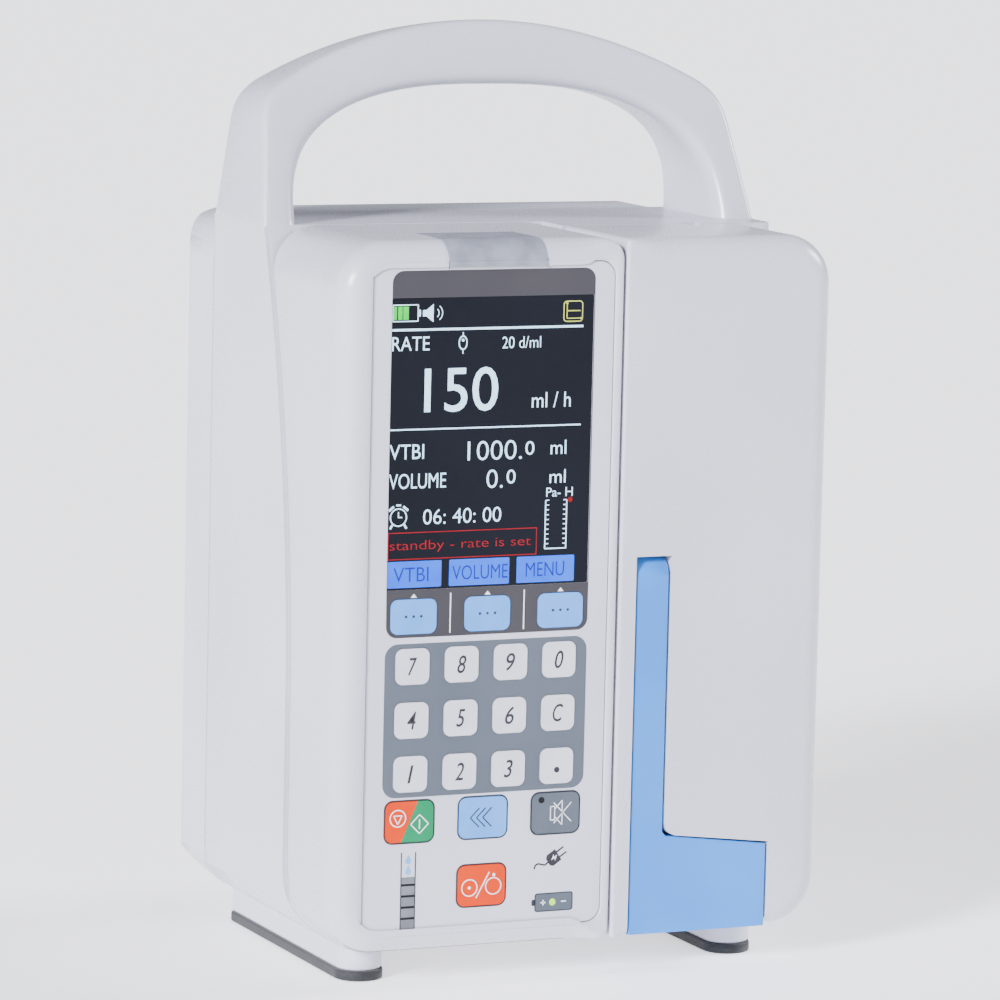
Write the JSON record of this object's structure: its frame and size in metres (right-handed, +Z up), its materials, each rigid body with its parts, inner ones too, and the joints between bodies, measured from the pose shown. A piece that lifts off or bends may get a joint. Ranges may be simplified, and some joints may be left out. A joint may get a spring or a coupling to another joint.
{
  "type": "infusion pump",
  "caption": "Volumetric infusion pump with a carry handle, keypad and display beside a hinged door with a lever latch, tube channel and pole clamp.",
  "frame": {"origin": "centre of the bounding box on the surface that the feet stand on", "axes": "+X to the user's right, +Y from the front panel to the rear, +Z up"},
  "size_m": [0.131, 0.1758, 0.2272],
  "materials": {
    "case_abs": "fine satin moulded ABS",
    "black_rubber": "matte",
    "overlay_film": "printed polyester film",
    "display_glass": "clear hard coated",
    "display_metal": "dark display panel",
    "circuit_board": "green solder mask",
    "lamp_diffuser": "frosted polycarbonate",
    "battery_wrap": "heat-shrink sleeve",
    "black_plastic": "moulded",
    "nickel_steel": "nickel plated",
    "machined_aluminium": "bead blasted and anodised",
    "painted_steel": "black paint",
    "gear_brass": "hobbed",
    "white_acetal": "machined",
    "clear_silicone": "translucent sheet",
    "orange_acetal": "moulded",
    "grey_abs": "moulded",
    "blue_abs": "satin moulded",
    "key_white": "embossed printed film",
    "key_blue": "embossed printed film",
    "key_orange": "embossed printed film",
    "key_grey": "embossed printed film"
  },
  "bodies": {
    "pump_body": {"front_case": "case_abs", "main_housing": "case_abs", "carry_handle": "case_abs", "rear_case": "case_abs", "foot_skids": "case_abs", "foot_pads": "black_rubber", "front_overlay": "overlay_film", "lcd_window": "display_glass", "lcd_module": "display_metal", "keypad_board": "circuit_board", "alarm_lamp": "lamp_diffuser", "main_board": "circuit_board", "power_board": "circuit_board", "battery_pack": "battery_wrap", "battery_cover": "case_abs", "speaker": "black_plastic", "mains_inlet": "black_plastic", "data_socket": "nickel_steel", "pump_chassis": "machined_aluminium", "stepper_motor": "painted_steel", "shaft_bearings": "nickel_steel", "pump_fingers": "white_acetal", "finger_membrane": "clear_silicone", "pressure_sensors": "painted_steel", "bubble_sensor": "black_plastic", "hinge_brackets": "nickel_steel", "case_screws": "nickel_steel", "clamp_frame": "machined_aluminium"},
    "motor_pinion": {"motor_pinion": "gear_brass"},
    "cam_assembly": {"camshaft": "nickel_steel", "cam_gear": "gear_brass"},
    "flow_clamp": {"flow_clamp": "orange_acetal"},
    "door": {"door_shell": "case_abs", "door_inner": "grey_abs", "platen_springs": "nickel_steel", "door_pins": "nickel_steel"},
    "platen": {"platen": "machined_aluminium"},
    "lever": {"door_lever": "blue_abs"},
    "latch": {"latch_slide": "nickel_steel"},
    "clamp_pad": {"clamp_pad": "black_rubber"},
    "clamp_screw": {"clamp_screw": "black_plastic"},
    "key_7": {"key_7": "key_white"},
    "key_8": {"key_8": "key_white"},
    "key_9": {"key_9": "key_white"},
    "key_0": {"key_0": "key_white"},
    "key_4": {"key_4": "key_white"},
    "key_5": {"key_5": "key_white"},
    "key_6": {"key_6": "key_white"},
    "key_clear": {"key_clear": "key_white"},
    "key_1": {"key_1": "key_white"},
    "key_2": {"key_2": "key_white"},
    "key_3": {"key_3": "key_white"},
    "key_point": {"key_point": "key_white"},
    "key_soft_left": {"key_soft_left": "key_blue"},
    "key_soft_middle": {"key_soft_middle": "key_blue"},
    "key_soft_right": {"key_soft_right": "key_blue"},
    "key_start_stop": {"key_start_stop": "key_orange"},
    "key_bolus": {"key_bolus": "key_blue"},
    "key_mute": {"key_mute": "key_grey"},
    "key_power": {"key_power": "key_orange"}
  },
  "joints": [
    {"name": "door_hinge", "type": "hinge", "parent": "pump_body", "child": "door", "pos_m": [0.0605, -0.0559, 0.0895], "axis": [0, 0, 1], "range_deg": [0, 95]},
    {"name": "lever_hinge", "type": "hinge", "parent": "door", "child": "lever", "pos_m": [0.0172, -0.0831, 0.0976], "axis": [-1, 0, 0], "range_deg": [0, 50]},
    {"name": "latch_lift", "type": "slide", "parent": "door", "child": "latch", "axis": [0, 0, 1], "range_m": [0, 0.005]},
    {"name": "platen_float", "type": "slide", "parent": "door", "child": "platen", "axis": [0, -1, 0], "range_m": [0, 0.0008], "stiffness_N_per_m": 2000},
    {"name": "motor_turn", "type": "hinge", "parent": "pump_body", "child": "motor_pinion", "pos_m": [0.031, -0.00711, 0.0545], "axis": [0, 0, 1], "continuous": true},
    {"name": "cam_turn", "type": "hinge", "parent": "pump_body", "child": "cam_assembly", "pos_m": [0.043, -0.0279, 0.0895], "axis": [0, 0, 1], "continuous": true},
    {"name": "flow_clamp_slide", "type": "slide", "parent": "pump_body", "child": "flow_clamp", "axis": [0, -1, 0], "range_m": [0, 0.0035], "stiffness_N_per_m": 200},
    {"name": "clamp_pad_slide", "type": "slide", "parent": "pump_body", "child": "clamp_pad", "axis": [0, 1, 0], "range_m": [0, 0.01]},
    {"name": "clamp_screw_turn", "type": "hinge", "parent": "clamp_pad", "child": "clamp_screw", "pos_m": [0, 0.0749, 0.115], "axis": [0, 1, 0], "range_deg": [0, 1800]},
    {"name": "key_7_press", "type": "slide", "parent": "pump_body", "child": "key_7", "axis": [0, 1, 0], "range_m": [0, 0.0003], "stiffness_N_per_m": 1500},
    {"name": "key_8_press", "type": "slide", "parent": "pump_body", "child": "key_8", "axis": [0, 1, 0], "range_m": [0, 0.0003], "stiffness_N_per_m": 1500},
    {"name": "key_9_press", "type": "slide", "parent": "pump_body", "child": "key_9", "axis": [0, 1, 0], "range_m": [0, 0.0003], "stiffness_N_per_m": 1500},
    {"name": "key_0_press", "type": "slide", "parent": "pump_body", "child": "key_0", "axis": [0, 1, 0], "range_m": [0, 0.0003], "stiffness_N_per_m": 1500},
    {"name": "key_4_press", "type": "slide", "parent": "pump_body", "child": "key_4", "axis": [0, 1, 0], "range_m": [0, 0.0003], "stiffness_N_per_m": 1500},
    {"name": "key_5_press", "type": "slide", "parent": "pump_body", "child": "key_5", "axis": [0, 1, 0], "range_m": [0, 0.0003], "stiffness_N_per_m": 1500},
    {"name": "key_6_press", "type": "slide", "parent": "pump_body", "child": "key_6", "axis": [0, 1, 0], "range_m": [0, 0.0003], "stiffness_N_per_m": 1500},
    {"name": "key_clear_press", "type": "slide", "parent": "pump_body", "child": "key_clear", "axis": [0, 1, 0], "range_m": [0, 0.0003], "stiffness_N_per_m": 1500},
    {"name": "key_1_press", "type": "slide", "parent": "pump_body", "child": "key_1", "axis": [0, 1, 0], "range_m": [0, 0.0003], "stiffness_N_per_m": 1500},
    {"name": "key_2_press", "type": "slide", "parent": "pump_body", "child": "key_2", "axis": [0, 1, 0], "range_m": [0, 0.0003], "stiffness_N_per_m": 1500},
    {"name": "key_3_press", "type": "slide", "parent": "pump_body", "child": "key_3", "axis": [0, 1, 0], "range_m": [0, 0.0003], "stiffness_N_per_m": 1500},
    {"name": "key_point_press", "type": "slide", "parent": "pump_body", "child": "key_point", "axis": [0, 1, 0], "range_m": [0, 0.0003], "stiffness_N_per_m": 1500},
    {"name": "key_soft_left_press", "type": "slide", "parent": "pump_body", "child": "key_soft_left", "axis": [0, 1, 0], "range_m": [0, 0.0003], "stiffness_N_per_m": 1500},
    {"name": "key_soft_middle_press", "type": "slide", "parent": "pump_body", "child": "key_soft_middle", "axis": [0, 1, 0], "range_m": [0, 0.0003], "stiffness_N_per_m": 1500},
    {"name": "key_soft_right_press", "type": "slide", "parent": "pump_body", "child": "key_soft_right", "axis": [0, 1, 0], "range_m": [0, 0.0003], "stiffness_N_per_m": 1500},
    {"name": "key_start_stop_press", "type": "slide", "parent": "pump_body", "child": "key_start_stop", "axis": [0, 1, 0], "range_m": [0, 0.0003], "stiffness_N_per_m": 1500},
    {"name": "key_bolus_press", "type": "slide", "parent": "pump_body", "child": "key_bolus", "axis": [0, 1, 0], "range_m": [0, 0.0003], "stiffness_N_per_m": 1500},
    {"name": "key_mute_press", "type": "slide", "parent": "pump_body", "child": "key_mute", "axis": [0, 1, 0], "range_m": [0, 0.0003], "stiffness_N_per_m": 1500},
    {"name": "key_power_press", "type": "slide", "parent": "pump_body", "child": "key_power", "axis": [0, 1, 0], "range_m": [0, 0.0003], "stiffness_N_per_m": 1500}
  ],
  "couplings": [
    {"joint": "latch_lift", "follows": "lever_hinge", "m_per_rad": 0.0057296},
    {"joint": "cam_turn", "follows": "motor_turn", "ratio": -0.33333},
    {"joint": "clamp_pad_slide", "follows": "clamp_screw_turn", "m_per_rad": 0.00031831}
  ]
}
